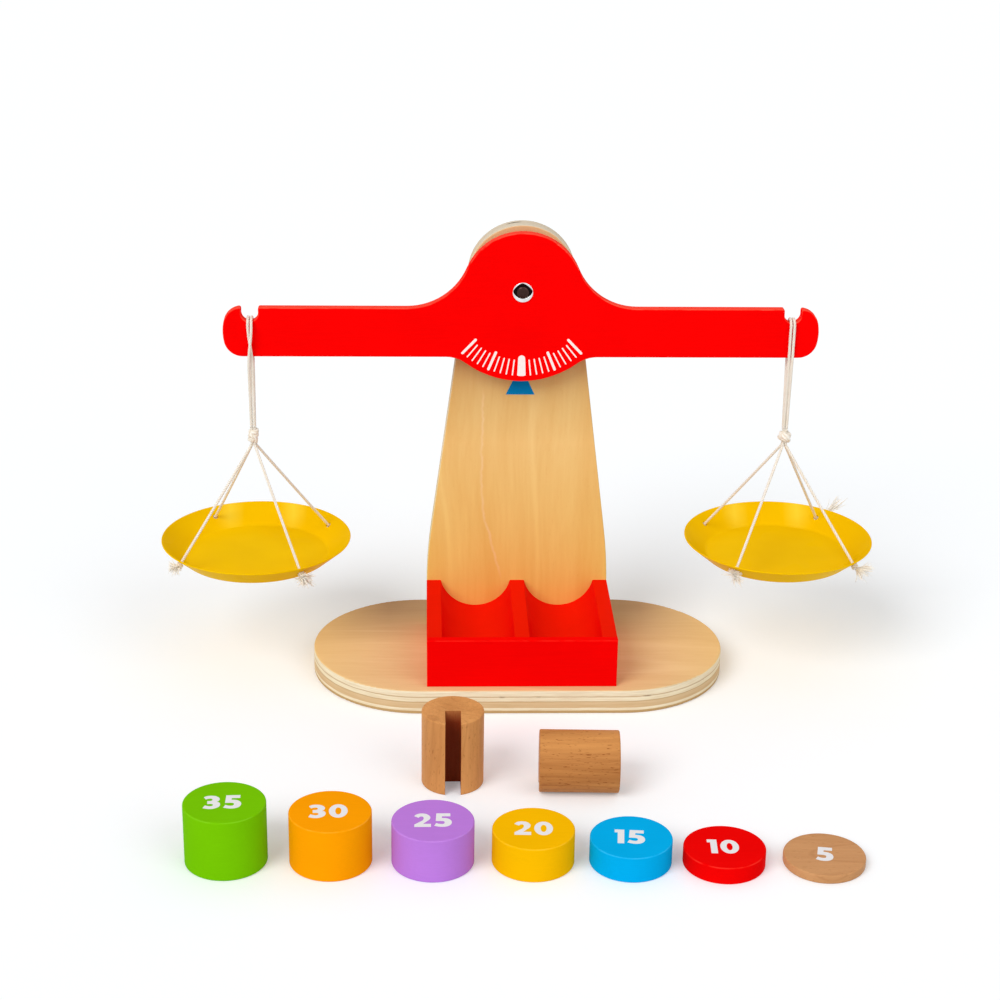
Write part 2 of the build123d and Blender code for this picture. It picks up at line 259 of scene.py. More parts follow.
def makeGrainGroup():
    # wood with its grain along X: broad figure, fine fibres, veins and short dark pores
    inputs = {"Vector": "Vector", "Light": "Color", "Dark": "Color"}
    inputs.update(dict.fromkeys(("Figure", "Fibre", "Pores", "Veins", "Rings"), "Float"))
    tree, given, out = newGroup("woodGrain", inputs, {"Color": "Color", "Height": "Float"})
    look = grainLook
    waver = noise(stretch(given["Vector"], look["waver"]), 1.0, 1.0)
    drift = newStep("CombineXYZ", 0.0, times(waver, look["aside"]), times(waver, look["upward"]))
    bent = newStep("VectorMath", given["Vector"], drift.outputs[0])
    bent.operation = "ADD"
    along = bent.outputs[0]
    broad = pattern(along, "broadFigure")
    fine = pattern(along, "fineFibres")
    pores = times(pattern(along, "pores"), given["Pores"])
    field = noise(stretch(along, look["veins"]), 1.0, 1.0)
    contour = calc("FRACT", times(field, given["Rings"]))
    vein = remap(apart(contour, 0.5), look["veinWidth"], 0.0)
    share = plus(times(broad, given["Figure"]), times(fine, given["Fibre"]), pores)
    share = minus(share, times(vein, given["Veins"]))
    share = calc("MAXIMUM", calc("MINIMUM", share, 1.0), 0.0)
    feed(out["Color"], blendTones(share, given["Light"], given["Dark"]))
    feed(out["Height"], minus(times(fine, look["fibreHeight"]), pores))
    return tree


def makeRoundoverGroup():
    # 1 on the rounded edges between a broad face and its sides, from the normal's part across the board
    tree, given, out = newGroup("roundedEdge", {"Across": "Float"}, {"Edge": "Float"})
    square = times(given["Across"], given["Across"])
    bow = times(square, minus(1.0, square), 4.0)        # 1 halfway round
    feed(out["Edge"], remap(bow, 0.15, 0.9))
    return tree


paintLook = {
    "cloudDepth": 0.04, "grainDepth": 0.025,        # how far each darkens the paint
    "pimples": 1900.0, "pimpleHeight": 0.6, "grainHeight": 0.4,
    "roughness": 0.46, "cloudRoughness": 0.1, "shine": 0.004,
}
black = (0.0, 0.0, 0.0, 1.0)


def makePaintGroup():
    # satin paint over wood: the grain telegraphs through, and the film is thin along the edges
    inputs = {"Vector": "Vector", "Paint": "Color", "Thin": "Color", "Edge": "Float", "Wear": "Float"}
    outputs = {"Color": "Color", "Roughness": "Float", "Height": "Float"}
    tree, given, out = newGroup("paintFilm", inputs, outputs)
    look, place = paintLook, given["Vector"]
    cloud, grain, patch = (pattern(place, "paint" + name) for name in ("Cloud", "Grain", "Patch"))
    depth = plus(times(cloud, look["cloudDepth"]), times(grain, look["grainDepth"]))
    shaded = blendTones(depth, given["Paint"], black)
    bare = times(given["Edge"], patch, given["Wear"])
    feed(out["Color"], blendTones(bare, shaded, given["Thin"]))
    feed(out["Roughness"], plus(look["roughness"], times(cloud, look["cloudRoughness"])))
    pimples = times(noise(place, look["pimples"]), look["pimpleHeight"])
    feed(out["Height"], plus(pimples, times(grain, look["grainHeight"])))
    return tree


plyLook = {
    "ragged": 120.0, "raggedDetail": 3.0, "raggedDepth": 0.035,
    "streak": 0.3, "streakTone": tone(188, 146, 92),
    # a dark gap here and there beside one glue line
    "gap": 0.7, "gapTone": tone(104, 74, 48), "gapLevel": 0.28, "gapWidth": 0.035,
    "bands": [                          # share of the board's thickness from its top or front, and colour
        (0.00, tone(232, 212, 168)),
        (0.06, tone(246, 236, 208)),
        (0.24, tone(242, 228, 196)),
        (0.27, tone(186, 152, 108)),
        (0.30, tone(244, 232, 202)),
        (0.45, tone(240, 226, 192)),
        (0.48, tone(190, 154, 110)),
        (0.51, tone(222, 194, 152)),
        (0.73, tone(216, 184, 140)),
        (0.77, tone(246, 234, 204)),
        (0.85, tone(240, 224, 188)),
        (0.88, tone(190, 154, 104)),
        (1.00, tone(204, 172, 124)),
    ],
}


def makePlyGroup():
    # a plywood edge, from one face at 0 to the other at 1
    inputs = {"Level": "Float", "Vector": "Vector"}
    tree, given, out = newGroup("plyLayers", inputs, {"Color": "Color", "Height": "Float"})
    look, place = plyLook, given["Vector"]
    ragged = minus(noise(place, look["ragged"], look["raggedDetail"]), 0.5)
    level = plus(given["Level"], times(ragged, look["raggedDepth"]))
    streak = pattern(place, "plyStreak")
    layers = ramp(level, look["bands"])
    layers = blendTones(times(streak, look["streak"]), layers, look["streakTone"])
    besideGlue = below(apart(level, look["gapLevel"]), look["gapWidth"])
    gap = times(besideGlue, pattern(place, "plyGap"), look["gap"])
    feed(out["Color"], blendTones(gap, layers, look["gapTone"]))
    feed(out["Height"], streak)
    return tree


grainGroup = makeGrainGroup()
edgeGroup = makeRoundoverGroup()
paintGroup = makePaintGroup()
plyGroup = makePlyGroup()
print("shared effects made")


# Materials

def newMaterial(name):
    # a new material, its shader, and the sockets for each point's place and normal
    material = bpy.data.materials.new(name)
    material.use_nodes = True
    steps = material.node_tree.nodes
    coordinates = steps.new("ShaderNodeTexCoord").outputs
    return material, steps["Principled BSDF"], coordinates["Object"], coordinates["Normal"]


def openAgain(material):
    # a finished material's shader, place, normal and colour, to build on
    steps = material.node_tree.nodes
    shader = steps["Principled BSDF"]
    coordinates = next(step for step in steps if step.type == "TEX_COORD").outputs
    colour = shader.inputs["Base Color"].links[0].from_socket
    return shader, coordinates["Object"], coordinates["Normal"], colour


def finishOf(shader, colour, roughness, shine, height, strength, distance):
    # what every surface has; strength and distance are the bump's
    feed(shader.inputs["Base Color"], colour)
    feed(shader.inputs["Roughness"], roughness)
    shader.inputs["Specular IOR Level"].default_value = shine
    bump = shader.id_data.nodes.new("ShaderNodeBump")
    bump.inputs["Strength"].default_value = strength
    bump.inputs["Distance"].default_value = distance
    feed(bump.inputs["Height"], height)
    feed(shader.inputs["Normal"], bump.outputs[0])


def paintMaterial(name, paint, thin, axis, wear, topSheen=0.0):
    # axis is the board's thickness, which tells its faces from its edges; the last argument lightens what
    # faces up with the thin tone, a painted sheen standing in for the bright room's reflection
    material, shader, place, normal = newMaterial(name)
    edge = useGroup(edgeGroup, Across=partOf(normal, axis))["Edge"]
    film = useGroup(paintGroup, Vector=place, Paint=paint, Thin=thin, Edge=edge, Wear=wear)
    # painted sheen: faces that look upward are lightened towards the thin tone
    upward = remap(partOf(normal, "Z"), 0.3, 0.9, 0.0, topSheen)
    colour = blendTones(upward, film["Color"], thin)
    finishOf(shader, colour, film["Roughness"], paintLook["shine"], film["Height"], 0.08, 0.1 * mm)
    return material


# each wood's light and dark tones, and the strength of its figure, fibres, pores and veins, dark below 0
woods = {
    "plyBase": (tone(238, 202, 148), tone(222, 178, 122), 0.4, 0.3, 0.15, 0.3),
    "plyUpright": (tone(243, 205, 134), tone(229, 175, 98), 0.5, 0.2, 0.15, 0.3),
    "beechDisc": (tone(208, 154, 104), tone(160, 104, 60), 0.25, 0.2, 0.35, -0.2),
    "beechStanding": (tone(222, 158, 94), tone(150, 86, 40), 0.3, 0.2, 0.4, -0.16),
    "beechLying": (tone(214, 149, 84), tone(146, 82, 38), 0.4, 0.3, 0.75, -0.25),
}
alongX, alongZ = (0, 0, 0), (0, 90, 0)


def grainOf(place, name, turn, rings):
    labels = ("Light", "Dark", "Figure", "Fibre", "Pores", "Veins")
    vector = stretch(place, (1, 1, 1), turn)
    return useGroup(grainGroup, Vector=vector, Rings=rings, **dict(zip(labels, woods[name])))


def woodMaterial(name, turn):
    material, shader, place, _ = newMaterial(name)
    wood = grainOf(place, name, turn, 16.0)
    roughness = remap(wood["Height"], -0.5, 0.5, 0.55, 0.42)
    finishOf(shader, wood["Color"], roughness, 0.06, wood["Height"], 0.25, 0.2 * mm)
    return material


def plyMaterial(name, node, turn, axis):
    # veneer on the broad faces, layers on the edges, counted from the board's front or top
    material, shader, place, normal = newMaterial(name)
    face = grainOf(place, name, turn, 3.0)
    low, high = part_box(node)
    ends = (high.z, low.z) if axis == "Z" else (low.y, high.y)
    level = remap(partOf(place, axis), *ends)
    edge = useGroup(plyGroup, Level=level, Vector=place)
    onFace = remap(calc("ABSOLUTE", partOf(normal, axis)), 0.55, 0.85)
    colour = blendTones(onFace, edge["Color"], face["Color"])
    height = plus(face["Height"], times(edge["Height"], 0.4))
    finishOf(shader, colour, 0.5, 0.02, height, 0.15, 0.2 * mm)
    return material


# painted shade in the standing rider's sawn slot: its walls are darker than its turned face, less so near
# the top where light reaches in
slotShadeLook = {
    "halfWidth": 4.4 * mm,
    "behind": -1.1 * mm,                # its closed end, from the rider's middle
    "fade": 7 * mm, "atTop": 0.45,
    "share": 0.85, "tone": tone(140, 36, 4),
}


def paintSlotShade(material, node):
    shader, place, normal, wood = openAgain(material)
    facts, middle, top = slotShadeLook, middleOf(node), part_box(node)[1].z
    aside = apart(partOf(place, "X"), middle.x)
    inWidth = below(aside, facts["halfWidth"])
    inDepth = below(partOf(place, "Y"), middle.y + facts["behind"])
    onWall = below(calc("ABSOLUTE", partOf(normal, "Z")), 0.5)
    height = partOf(place, "Z")
    fading = remap(height, top - facts["fade"], top, 1.0, facts["atTop"])
    # painted shade on the slot's walls, fading out towards the top
    share = times(inWidth, inDepth, onWall, fading, facts["share"])
    feed(shader.inputs["Base Color"], blendTones(share, wood, facts["tone"]))
    return material


# the upright's front deepens towards orange low down, painted bounce light from the red rack, and is browner
# just below the beam, the beam's painted shadow; its top is greyer and pinker, painted shade and red bounce
# light from the beam; a light line wanders down it; the edge over its arch is greyer, with a gap between two
# plies
uprightFigure = {
    "deep": {"from": 0.135, "to": 0.036, "share": 0.85, "tone": (0.93, 0.92, 0.5, 1.0)},
    "topBounce": {"from": 0.170, "to": 0.262, "share": 0.6, "tone": tone(226, 192, 152)},
    "paintedShade": {"from": 0.136, "to": 0.184, "share": 0.29, "tone": tone(84, 44, 34), "end": 0.22},
    "line": {
        "points": [(0.172, -0.0222), (0.112, -0.0228), (0.088, -0.0212), (0.070, -0.0160), (0.045, -0.0095)],
        "halfWidth": 0.55 * mm, "fade": 12 * mm, "wander": 4.0 * mm, "waver": (0, 0, 110),
        "share": 0.4, "tone": tone(248, 216, 176),
    },
    "grey": {"share": 0.5, "tone": tone(206, 206, 196)},
    "gap": {
        "middle": -5.0 * mm, "halfLength": 5.0 * mm, "level": 35.4 * mm, "halfWidth": 0.8 * mm,
        "tone": tone(60, 54, 44),
    },
}


def risingShare(value, facts):
    return remap(value, facts["from"], facts["to"], 0.0, facts["share"])


def lightLine(place, height):
    # 1 along the middle of the wandering line, which runs from point to point: height and place across
    facts = uprightFigure["line"]
    points = facts["points"]
    middle = points[0][1]
    for (high, across), (low, nextAcross) in zip(points, points[1:]):
        middle = plus(middle, remap(height, high, low, 0.0, nextAcross - across))
    drift = noise(stretch(place, facts["waver"]), 1.0)
    wander = times(minus(drift, 0.5), facts["wander"])
    aside = apart(partOf(place, "X"), plus(middle, wander))
    line = remap(aside, facts["halfWidth"] * 2, 0.0)
    top, bottom = points[0][0], points[-1][0]
    reach = (top - bottom) / 2
    ends = remap(apart(height, (top + bottom) / 2), reach, reach - facts["fade"])
    return times(line, ends, remap(drift, 0.3, 0.55, 0.45, 1.0))


def figureUpright(material):
    facts = uprightFigure
    shader, place, normal, wood = openAgain(material)
    height = partOf(place, "Z")
    onFront = below(partOf(normal, "Y"), 0.5)
    upward = remap(partOf(normal, "Z"), 0.3, 0.8)
    gap = facts["gap"]
    offMiddle = apart(partOf(place, "X"), gap["middle"])
    offLevel = apart(partOf(place, "Y"), gap["level"])
    # the orange low down is painted bounce light from the rack, the band under the beam its painted shadow,
    # and the pinker top painted shade and bounce light
    shares = {
        "deep": times(risingShare(height, facts["deep"]), onFront),
        "topBounce": risingShare(height, facts["topBounce"]),
        "paintedShade": times(risingShare(height, facts["paintedShade"]), onFront,
                       below(height, facts["paintedShade"]["end"])),
        "line": times(lightLine(place, height), facts["line"]["share"], onFront),
        "grey": times(upward, facts["grey"]["share"]),
        "gap": times(remap(offMiddle, gap["halfLength"], gap["halfLength"] / 2), upward,
                     remap(offLevel, gap["halfWidth"], gap["halfWidth"] / 2)),
    }
    for name, share in shares.items():
        wood = blendTones(share, wood, facts[name]["tone"], "MULTIPLY" if name == "deep" else "MIX")
    feed(shader.inputs["Base Color"], wood)
    return material


# the base's veneer is yellower towards its ends; browner beside and behind the upright is painted shade from
# the upright and the beam
baseFigure = {
    "yellow": {"from": 85 * mm, "to": 125 * mm, "share": 0.4, "tone": tone(240, 208, 138)},
    "paintedShade": {"from": 0.0, "to": 50 * mm, "share": 0.5, "tone": tone(146, 104, 84)},
    "near": 80 * mm, "far": 118 * mm,
}


def figureBase(material):
    facts = baseFigure
    shader, place, normal, wood = openAgain(material)
    aside = calc("ABSOLUTE", partOf(place, "X"))
    onTop = calc("GREATER_THAN", partOf(normal, "Z"), 0.5)
    ends = times(risingShare(aside, facts["yellow"]), onTop)
    wood = blendTones(ends, wood, facts["yellow"]["tone"])
    # painted shade: the top face is browner behind and beside the upright
    behind = risingShare(partOf(place, "Y"), facts["paintedShade"])
    paintedShade = times(behind, onTop, remap(aside, facts["far"], facts["near"]))
    feed(shader.inputs["Base Color"], blendTones(paintedShade, wood, facts["paintedShade"]["tone"]))
    return material


enamelLook = {
    "tones": (tone(245, 195, 0), tone(238, 186, 0)),
    "roughness": 0.24, "cloudRoughness": 0.06, "shine": 0.003,
    "waves": 60.0, "grit": 700.0, "gritHeight": 0.1,
    # two painted highlights on the back of each dish's inner wall, paler places where the lamps would
    # reflect
    "thin": {"aside": 20 * mm, "soft": 9 * mm, "from": 36 * mm, "to": 46 * mm, "share": 0.5},
    "highlightTone": tone(255, 226, 74),
}


def enamelMaterial():
    # thick enamel on pressed sheet, slightly rippled, with two painted highlights on each dish's inner wall
    look, thin = enamelLook, enamelLook["thin"]
    material, shader, place, normal = newMaterial("yellowEnamel")
    dish = middleOf("right_pan")
    cloud = pattern(place, "enamelCloud")
    paint = blendTones(cloud, *look["tones"])
    along = calc("ABSOLUTE", partOf(place, "X"))
    # painted highlights: two paler spots on the back of the inner wall
    spot = remap(apart(apart(along, dish.x), thin["aside"]), thin["soft"], 0.0)
    back = minus(partOf(place, "Y"), dish.y)
    inside = below(partOf(normal, "Y"), -0.2)
    share = times(spot, risingShare(back, thin), inside)
    colour = blendTones(share, paint, look["highlightTone"])
    roughness = plus(look["roughness"], times(cloud, look["cloudRoughness"]))
    grit = times(noise(place, look["grit"], 1.0), look["gritHeight"])
    height = plus(noise(place, look["waves"], 1.0), grit)
    finishOf(shader, colour, roughness, look["shine"], height, 0.12, 1 * mm)
    return material


def metalMaterial(name, colour, roughness, ringDepth):
    # turned or plated metal with fine rings about Y
    material, shader, place, _ = newMaterial(name)
    rings = pattern(place, "turning")
    colour = blendTones(times(rings, 0.15), colour, black)
    roughness = plus(roughness, times(rings, 0.06))
    shader.inputs["Metallic"].default_value = 1.0
    finishOf(shader, colour, roughness, 0.5, rings, ringDepth, 0.05 * mm)
    return material


cottonLook = {
    "tones": (tone(255, 251, 243), tone(250, 242, 228)),
    # the painted shade in the grooves: its tone, and how strong it is
    "grooveShade": tone(214, 194, 164), "grooveFrom": 0.35, "grooveFuzz": 0.5,
    "fuzz": 2600.0, "sheen": 0.5,
}


def cottonMaterial():
    # twisted cotton: painted shade in the grooves between the plies, fuzzy all over
    look = cottonLook
    material, shader, place, _ = newMaterial("cottonCord")
    grooveShade = shader.id_data.nodes.new("ShaderNodeAttribute")
    grooveShade.attribute_name = "grooveShade"
    fuzz = noise(place, look["fuzz"], 3.0)
    drift = pattern(place, "cottonDrift")
    deep = plus(look["grooveFrom"], times(fuzz, look["grooveFuzz"]))
    share = times(grooveShade.outputs["Fac"], deep)
    colour = blendTones(share, blendTones(drift, *look["tones"]), look["grooveShade"])
    shader.inputs["Sheen Weight"].default_value = look["sheen"]
    shader.inputs["Sheen Roughness"].default_value = 0.5
    finishOf(shader, colour, 0.9, 0.1, fuzz, 0.5, 0.1 * mm)
    return material


def printMaterial(name, ink, scuff):
    # screen ink, a little worn and not quite even
    material, shader, place, _ = newMaterial(name)
    speck = pattern(place, "inkSpeck")
    colour = blendTones(times(speck, 0.35), ink, scuff)
    finishOf(shader, colour, 0.5, 0.02, speck, 0.1, 0.05 * mm)
    return material


# Meshes

def finishMesh(form, name, material, body, smooth=True):
    bmesh.ops.remove_doubles(form, verts=form.verts, dist=1e-7)
    bmesh.ops.recalc_face_normals(form, faces=form.faces)
    mesh = bpy.data.meshes.new(name)
    form.to_mesh(mesh)
    form.free()
    for face in mesh.polygons:
        face.use_smooth = smooth
    mesh.materials.append(material)
    piece = putInScene(name, mesh)
    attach(piece, body)
    return piece


cord = {
    "diameter": 1.8 * mm,
    "plies": 3,
    "pliesDepth": 0.16,                 # how deep the grooves are, as a share of the radius
    "lay": 5.4 * mm,                    # length of one turn of the twist
    "sides": 15,
    "step": 0.55 * mm,
}


def meshOf(curve):
    # the mesh that a curve makes; the curve itself isn't kept
    holder = bpy.data.objects.new(curve.name, curve)
    mesh = bpy.data.meshes.new_from_object(holder)
    bpy.data.objects.remove(holder)
    bpy.data.curves.remove(curve)
    return mesh


def splineLine(route, resolution=24):
    # points on the smooth line through a route's control points
    curve = bpy.data.curves.new("route", "CURVE")
    curve.dimensions = "3D"
    spline = curve.splines.new("NURBS")
    spline.points.add(len(route) - 1)
    for place, point in zip(spline.points, route):
        place.co = (*point, 1.0)
    spline.order_u = 3
    spline.use_endpoint_u = True
    spline.resolution_u = resolution
    mesh = meshOf(curve)
    line = [vert.co.copy() for vert in mesh.vertices]
    bpy.data.meshes.remove(mesh)
    return line


def evenly(line, step):
    lengths = [0.0]
    for before, after in zip(line, line[1:]):
        lengths.append(lengths[-1] + (after - before).length)
    count = max(3, round(lengths[-1] / step))
    found, index = [], 0
    for station in range(count + 1):
        want = lengths[-1] * station / count
        while index < len(line) - 2 and lengths[index + 1] < want:
            index += 1
        span = max(lengths[index + 1] - lengths[index], 1e-9)
        found.append(line[index].lerp(line[index + 1], min(1.0, (want - lengths[index]) / span)))
    return found, lengths[-1]


def stations(line, radii, turns):
    # a matrix at each point: along the line, turned by the twist and scaled to the radius
    matrices = []
    sideways = (line[1] - line[0]).orthogonal().normalized()
    for index, point in enumerate(line):
        ahead = (line[min(index + 1, len(line) - 1)] - line[max(index - 1, 0)]).normalized()
        sideways = (sideways - ahead * sideways.dot(ahead)).normalized()
        turn = Matrix((sideways, ahead.cross(sideways), ahead)).transposed().to_4x4()
        share = index / (len(line) - 1)
        twist = Matrix.Rotation(math.tau * turns * share, 4, "Z")
        matrices.append(Matrix.Translation(point) @ turn @ twist @ Matrix.Scale(radii[index], 4))
    return matrices


def vertsOf(made):
    return [item for item in made if isinstance(item, bmesh.types.BMVert)]


def sweep(form, matrices, sideCount, plies=0, depth=0.0):
    # a tube pulled from ring to ring, with its grooves marked for the material's painted shade
    mark = form.verts.layers.float.get("grooveShade") or form.verts.layers.float.new("grooveShade")
    ring = bmesh.ops.create_circle(form, cap_ends=False, segments=sideCount, radius=1.0)["verts"]
    for vert in ring:
        dip = 0.5 - 0.5 * math.cos(plies * math.atan2(vert.co.y, vert.co.x)) if plies else 0.0
        vert.co *= 1.0 - depth * dip
        vert[mark] = dip
    edges = list({edge for vert in ring for edge in vert.link_edges})
    ends = list(edges)
    bmesh.ops.transform(form, matrix=matrices[0], verts=ring)
    for before, after in zip(matrices, matrices[1:]):
        made = bmesh.ops.extrude_edge_only(form, edges=edges)["geom"]
        ring = vertsOf(made)
        edges = [item for item in made if isinstance(item, bmesh.types.BMEdge) and item.is_boundary]
        bmesh.ops.transform(form, matrix=after @ before.inverted(), verts=ring)
    bmesh.ops.holes_fill(form, edges=ends + edges, sides=sideCount)


def twistedTube(form, route, diameter=cord["diameter"], lay=cord["lay"]):
    # twisted cord along a route's spline
    line, length = evenly(splineLine(route), cord["step"])
    matrices = stations(line, [diameter / 2] * len(line), length / lay)
    sweep(form, matrices, cord["sides"], cord["plies"], cord["pliesDepth"])
    return line, length


# Cords and knots

# routes in metres about each hanger's notch floor: up each loop's front, then over it and down the back
loopFronts = {
    "left": [(-0.0010, -0.00105, -0.0665), (-0.0011, -0.0030, -0.0400), (-0.0012, -0.0044, -0.0230)],
    "right": [(0.0009, -0.00105, -0.0665), (0.0010, -0.0028, -0.0400), (0.0010, -0.0041, -0.0230)],
}
loopBack = [
    (0.0011, -0.0042, -0.0060),
    (0.0010, -0.0046, 0.0018),
    (0.0010, 0.0046, 0.0018),
    (0.0010, 0.0042, -0.0060),
    (0.0011, 0.0040, -0.0250),
    (0.0010, 0.00105, -0.0665),
]
crossing = {"side": "left", "gap": 1.8 * mm, "points": (2, 3)}     # one loop passes in front of the other
# from the knot down to a hole in the dish
strandRoute = [(0.00145, 0, -0.0777), (0.0266, 0, -0.1106), (0.0518, 0, -0.1426)]
hanger = {
    "knotDrop": 72 * mm,
    "turn": {"left": -11.0, "right": 8.0},      # degrees that each dish is turned
    "knot": {                           # sizes in mm
        "left": {"turns": 3.1, "radius": 2.0, "height": 7.4, "lean": 12, "sash": 0.1, "cord": 3.1},
        "right": {"turns": 2.2, "radius": 2.7, "height": 5.0, "lean": 26, "sash": 0.9, "cord": 3.3},
    },
}
knotShape = {
    "points": 8,                        # for each turn
    "start": 0.6,                       # where the winding starts, in radians
    "waist": 0.72,                      # the first and last turn's radius, as a share of the middle one's
    "lay": 12 * mm,
    "endAside": 0.2 * mm, "endDrop": 0.35,
    # the turn lying across it, as shares of its reach and height
    "sash": [(-0.6, -0.5, 0.62), (-0.9, -0.75, 0.3), (0.05, -1.25, 0.0), (0.95, -0.7, -0.32),
             (0.6, -0.2, -0.6)],
    "sashReach": 0.5 * mm, "sashHeight": 0.9, "sashCord": 0.85,
    "core": [(-0.22, 0.8), (0.0, 1.0), (0.22, 0.8)],    # lift and size of the balls inside
    "roots": 0.12,                      # how near to its middle the cords end
}
# the small knot outside each hole and the cord's tail, whose threads start at its root
endCoil = {
    "turns": 1.9, "points": 16, "radius": 1.4 * mm,
    "from": 0.6 * mm, "rise": 2.4 * mm, "cord": 1.9 * mm,
}
endTail = {"length": 4.4 * mm, "root": 3.0 * mm}
thread = {
    "gather": 0.6, "lean": 0.6,
    "shortest": 0.7, "stray": 0.3,      # shares of the threads' length
    "thin": 0.24 * mm, "thick": 0.45 * mm, "taper": 0.55,
    "steps": 7, "twist": 0.5, "sides": 6,
}
# each cord end outside the dish: its threads' length in mm, how wide they open in degrees, their number, how
# far they run outwards first, and which way they lean
shortFray = (4.6, 100, 40, 0.0, (0, 0, -0.2))
frays = {
    "left": [
        shortFray,
        shortFray,
        (5.4, 130, 72, 1.8, (-0.8, 0, 0.2)),
        (6.6, 130, 110, 2.0, (0.6, -0.2, -0.4)),
    ],
    "right": [
        (15.0, 22, 30, 6.5, (1.7, -0.8, 3.6)),
        shortFray,
        (6.4, 130, 100, 1.6, (1.0, -0.3, 0.6)),
        (8.6, 84, 80, 1.5, (1.0, -0.2, 0.5)),
    ],
}


def atHanger(side, route, angle=0.0, hand=1):
    top = knotMiddle[side] + Vector((0, 0, hanger["knotDrop"]))
    spin = Matrix.Rotation(angle, 3, "Z")
    return [top + spin @ Vector((hand * x, y, z)) for x, y, z in route]


def loopPath(side, hand):
    # one of the two folded cords, the front one standing off where they cross
    points = []
    for index, (x, y, z) in enumerate(loopFronts[side] + loopBack):
        over = side == crossing["side"] and hand > 0 and index in crossing["points"]
        points.append((x, y - crossing["gap"] * over, z))
    return points


def makeLoop(side, name, route, material):
    form = bmesh.new()
    line, length = twistedTube(form, route)
    piece = finishMesh(form, name, material, side + "_loop")
    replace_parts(piece, name)


def makeRoots(side, name, starts, body, material):
    # the stretch of each cord that runs on inside the knot, so that nothing parts as it swings
    form = bmesh.new()
    for start in starts:
        inner = knotMiddle[side] + (start - knotMiddle[side]) * knotShape["roots"]
        twistedTube(form, [start, start.lerp(inner, 0.5), inner])
    finishMesh(form, name, material, body)


def onCircle(angle, radius, height):
    return Vector((math.cos(angle) * radius, math.sin(angle) * radius, height))


def makeKnot(side, material):
    # cord wound round the bundle, with one turn lying across it
    facts, middle, shape = hanger["knot"][side], knotMiddle[side], knotShape
    radius, height, thick = (facts[name] * mm for name in ("radius", "height", "cord"))
    lean = Matrix.Rotation(math.radians(facts["lean"]), 3, "Y")
    end = Vector((shape["endAside"], 0, -height * shape["endDrop"]))
    points = [middle + end]
    count = round(facts["turns"] * shape["points"])
    for index in range(count + 1):
        share = index / count
        angle = math.tau * facts["turns"] * share + shape["start"]
        swell = radius * (shape["waist"] + (1 - shape["waist"]) * math.sin(math.pi * share))
        points.append(middle + lean @ onCircle(angle, swell, (share - 0.5) * height))
    points.append(middle - end)
    form = bmesh.new()
    twistedTube(form, points, thick, shape["lay"])
    reach = radius + shape["sashReach"] * facts["sash"]
    tall = height * shape["sashHeight"]
    across = [middle + Vector((x * reach, y * reach, z * tall)) for x, y, z in shape["sash"]]
    twistedTube(form, across, thick * shape["sashCord"], shape["lay"])
    for lift, size in shape["core"]:
        core = Matrix.Translation(middle + Vector((0, 0, lift * height))) @ Matrix.Scale(radius * size, 4)
        bmesh.ops.create_icosphere(form, subdivisions=2, radius=0.9, matrix=core)
    piece = finishMesh(form, side + "_knot_wraps", material, side + "_knot")
    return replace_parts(piece, side + "_knot")


def makeEndKnot(side, index, start, way, material):
    # a small overhand knot outside the hole, and the cord's frayed end beyond it
    length, spread, count, out, lean = frays[side][index]
    chance = random.Random(f"{side}{index}")
    form = bmesh.new()
    turn = way.to_track_quat("Z", "Y").to_matrix()
    coil = []
    for step in range(endCoil["points"] + 1):
        share = step / endCoil["points"]
        lift = endCoil["from"] + endCoil["rise"] * share
        coil.append(start + turn @ onCircle(math.tau * endCoil["turns"] * share, endCoil["radius"], lift))
    twistedTube(form, coil, endCoil["cord"])
    twistedTube(form, [start, start + way * endTail["length"] / 2, start + way * endTail["length"]])
    root = start + way * endTail["root"]
    outward = Vector((way.x, way.y, 0)).normalized() * out * mm
    for number in range(count):
        around = math.tau * (number + chance.random()) / count
        tilt = math.radians(spread) * chance.random() ** thread["gather"]
        heading = turn @ onCircle(around, math.sin(tilt), math.cos(tilt))
        heading = (heading + Vector(lean) * thread["lean"]).normalized()
        reach = length * mm * chance.uniform(thread["shortest"], 1.0)
        stray = Vector([chance.uniform(-1, 1) for axis in range(3)]) * reach * thread["stray"]
        route = [root, root + outward + heading * reach * 0.5, root + outward + heading * reach + stray]
        line, _ = evenly(splineLine(route, 8), reach / thread["steps"])
        radius = chance.uniform(thread["thin"], thread["thick"])
        radii = [radius * (1.0 - thread["taper"] * step / (len(line) - 1)) for step in range(len(line))]
        sweep(form, stations(line, radii, thread["twist"]), thread["sides"])
    piece = finishMesh(form, f"{side}_end_knot_{index + 1}", material, side + "_dish")
    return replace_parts(piece, side + "_end_knots")


def makeStrand(side, index, angle, material):
    name = f"{side}_strand_{index + 1}"
    form = bmesh.new()
    route = atHanger(side, strandRoute, angle)
    line, length = twistedTube(form, route)
    way = (route[-1] - route[-2]).normalized()
    endKnot = makeEndKnot(side, index, route[-1], way, material)
    piece = finishMesh(form, name + "_cord", material, side + "_dish")
    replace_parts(piece, name)
    return line[0]


cotton = cottonMaterial()
for side in sides:
    knot = makeKnot(side, cotton)
    loopStarts = []
    for number, hand in ((1, -1), (2, 1)):
        route = atHanger(side, loopPath(side, hand), hand=hand)
        makeLoop(side, f"{side}_loop_cord_{number}", route, cotton)
        loopStarts += [route[0], route[-1]]
    angles = [math.radians(hanger["turn"][side] + 45 + 90 * index) for index in range(4)]
    strandStarts = [makeStrand(side, index, angle, cotton) for index, angle in enumerate(angles)]
    makeRoots(side, side + "_loop_roots", loopStarts, side + "_loop", cotton)
    makeRoots(side, side + "_strand_roots", strandStarts, side + "_dish", cotton)
print("cords and knots made")


# Metal at the pivot

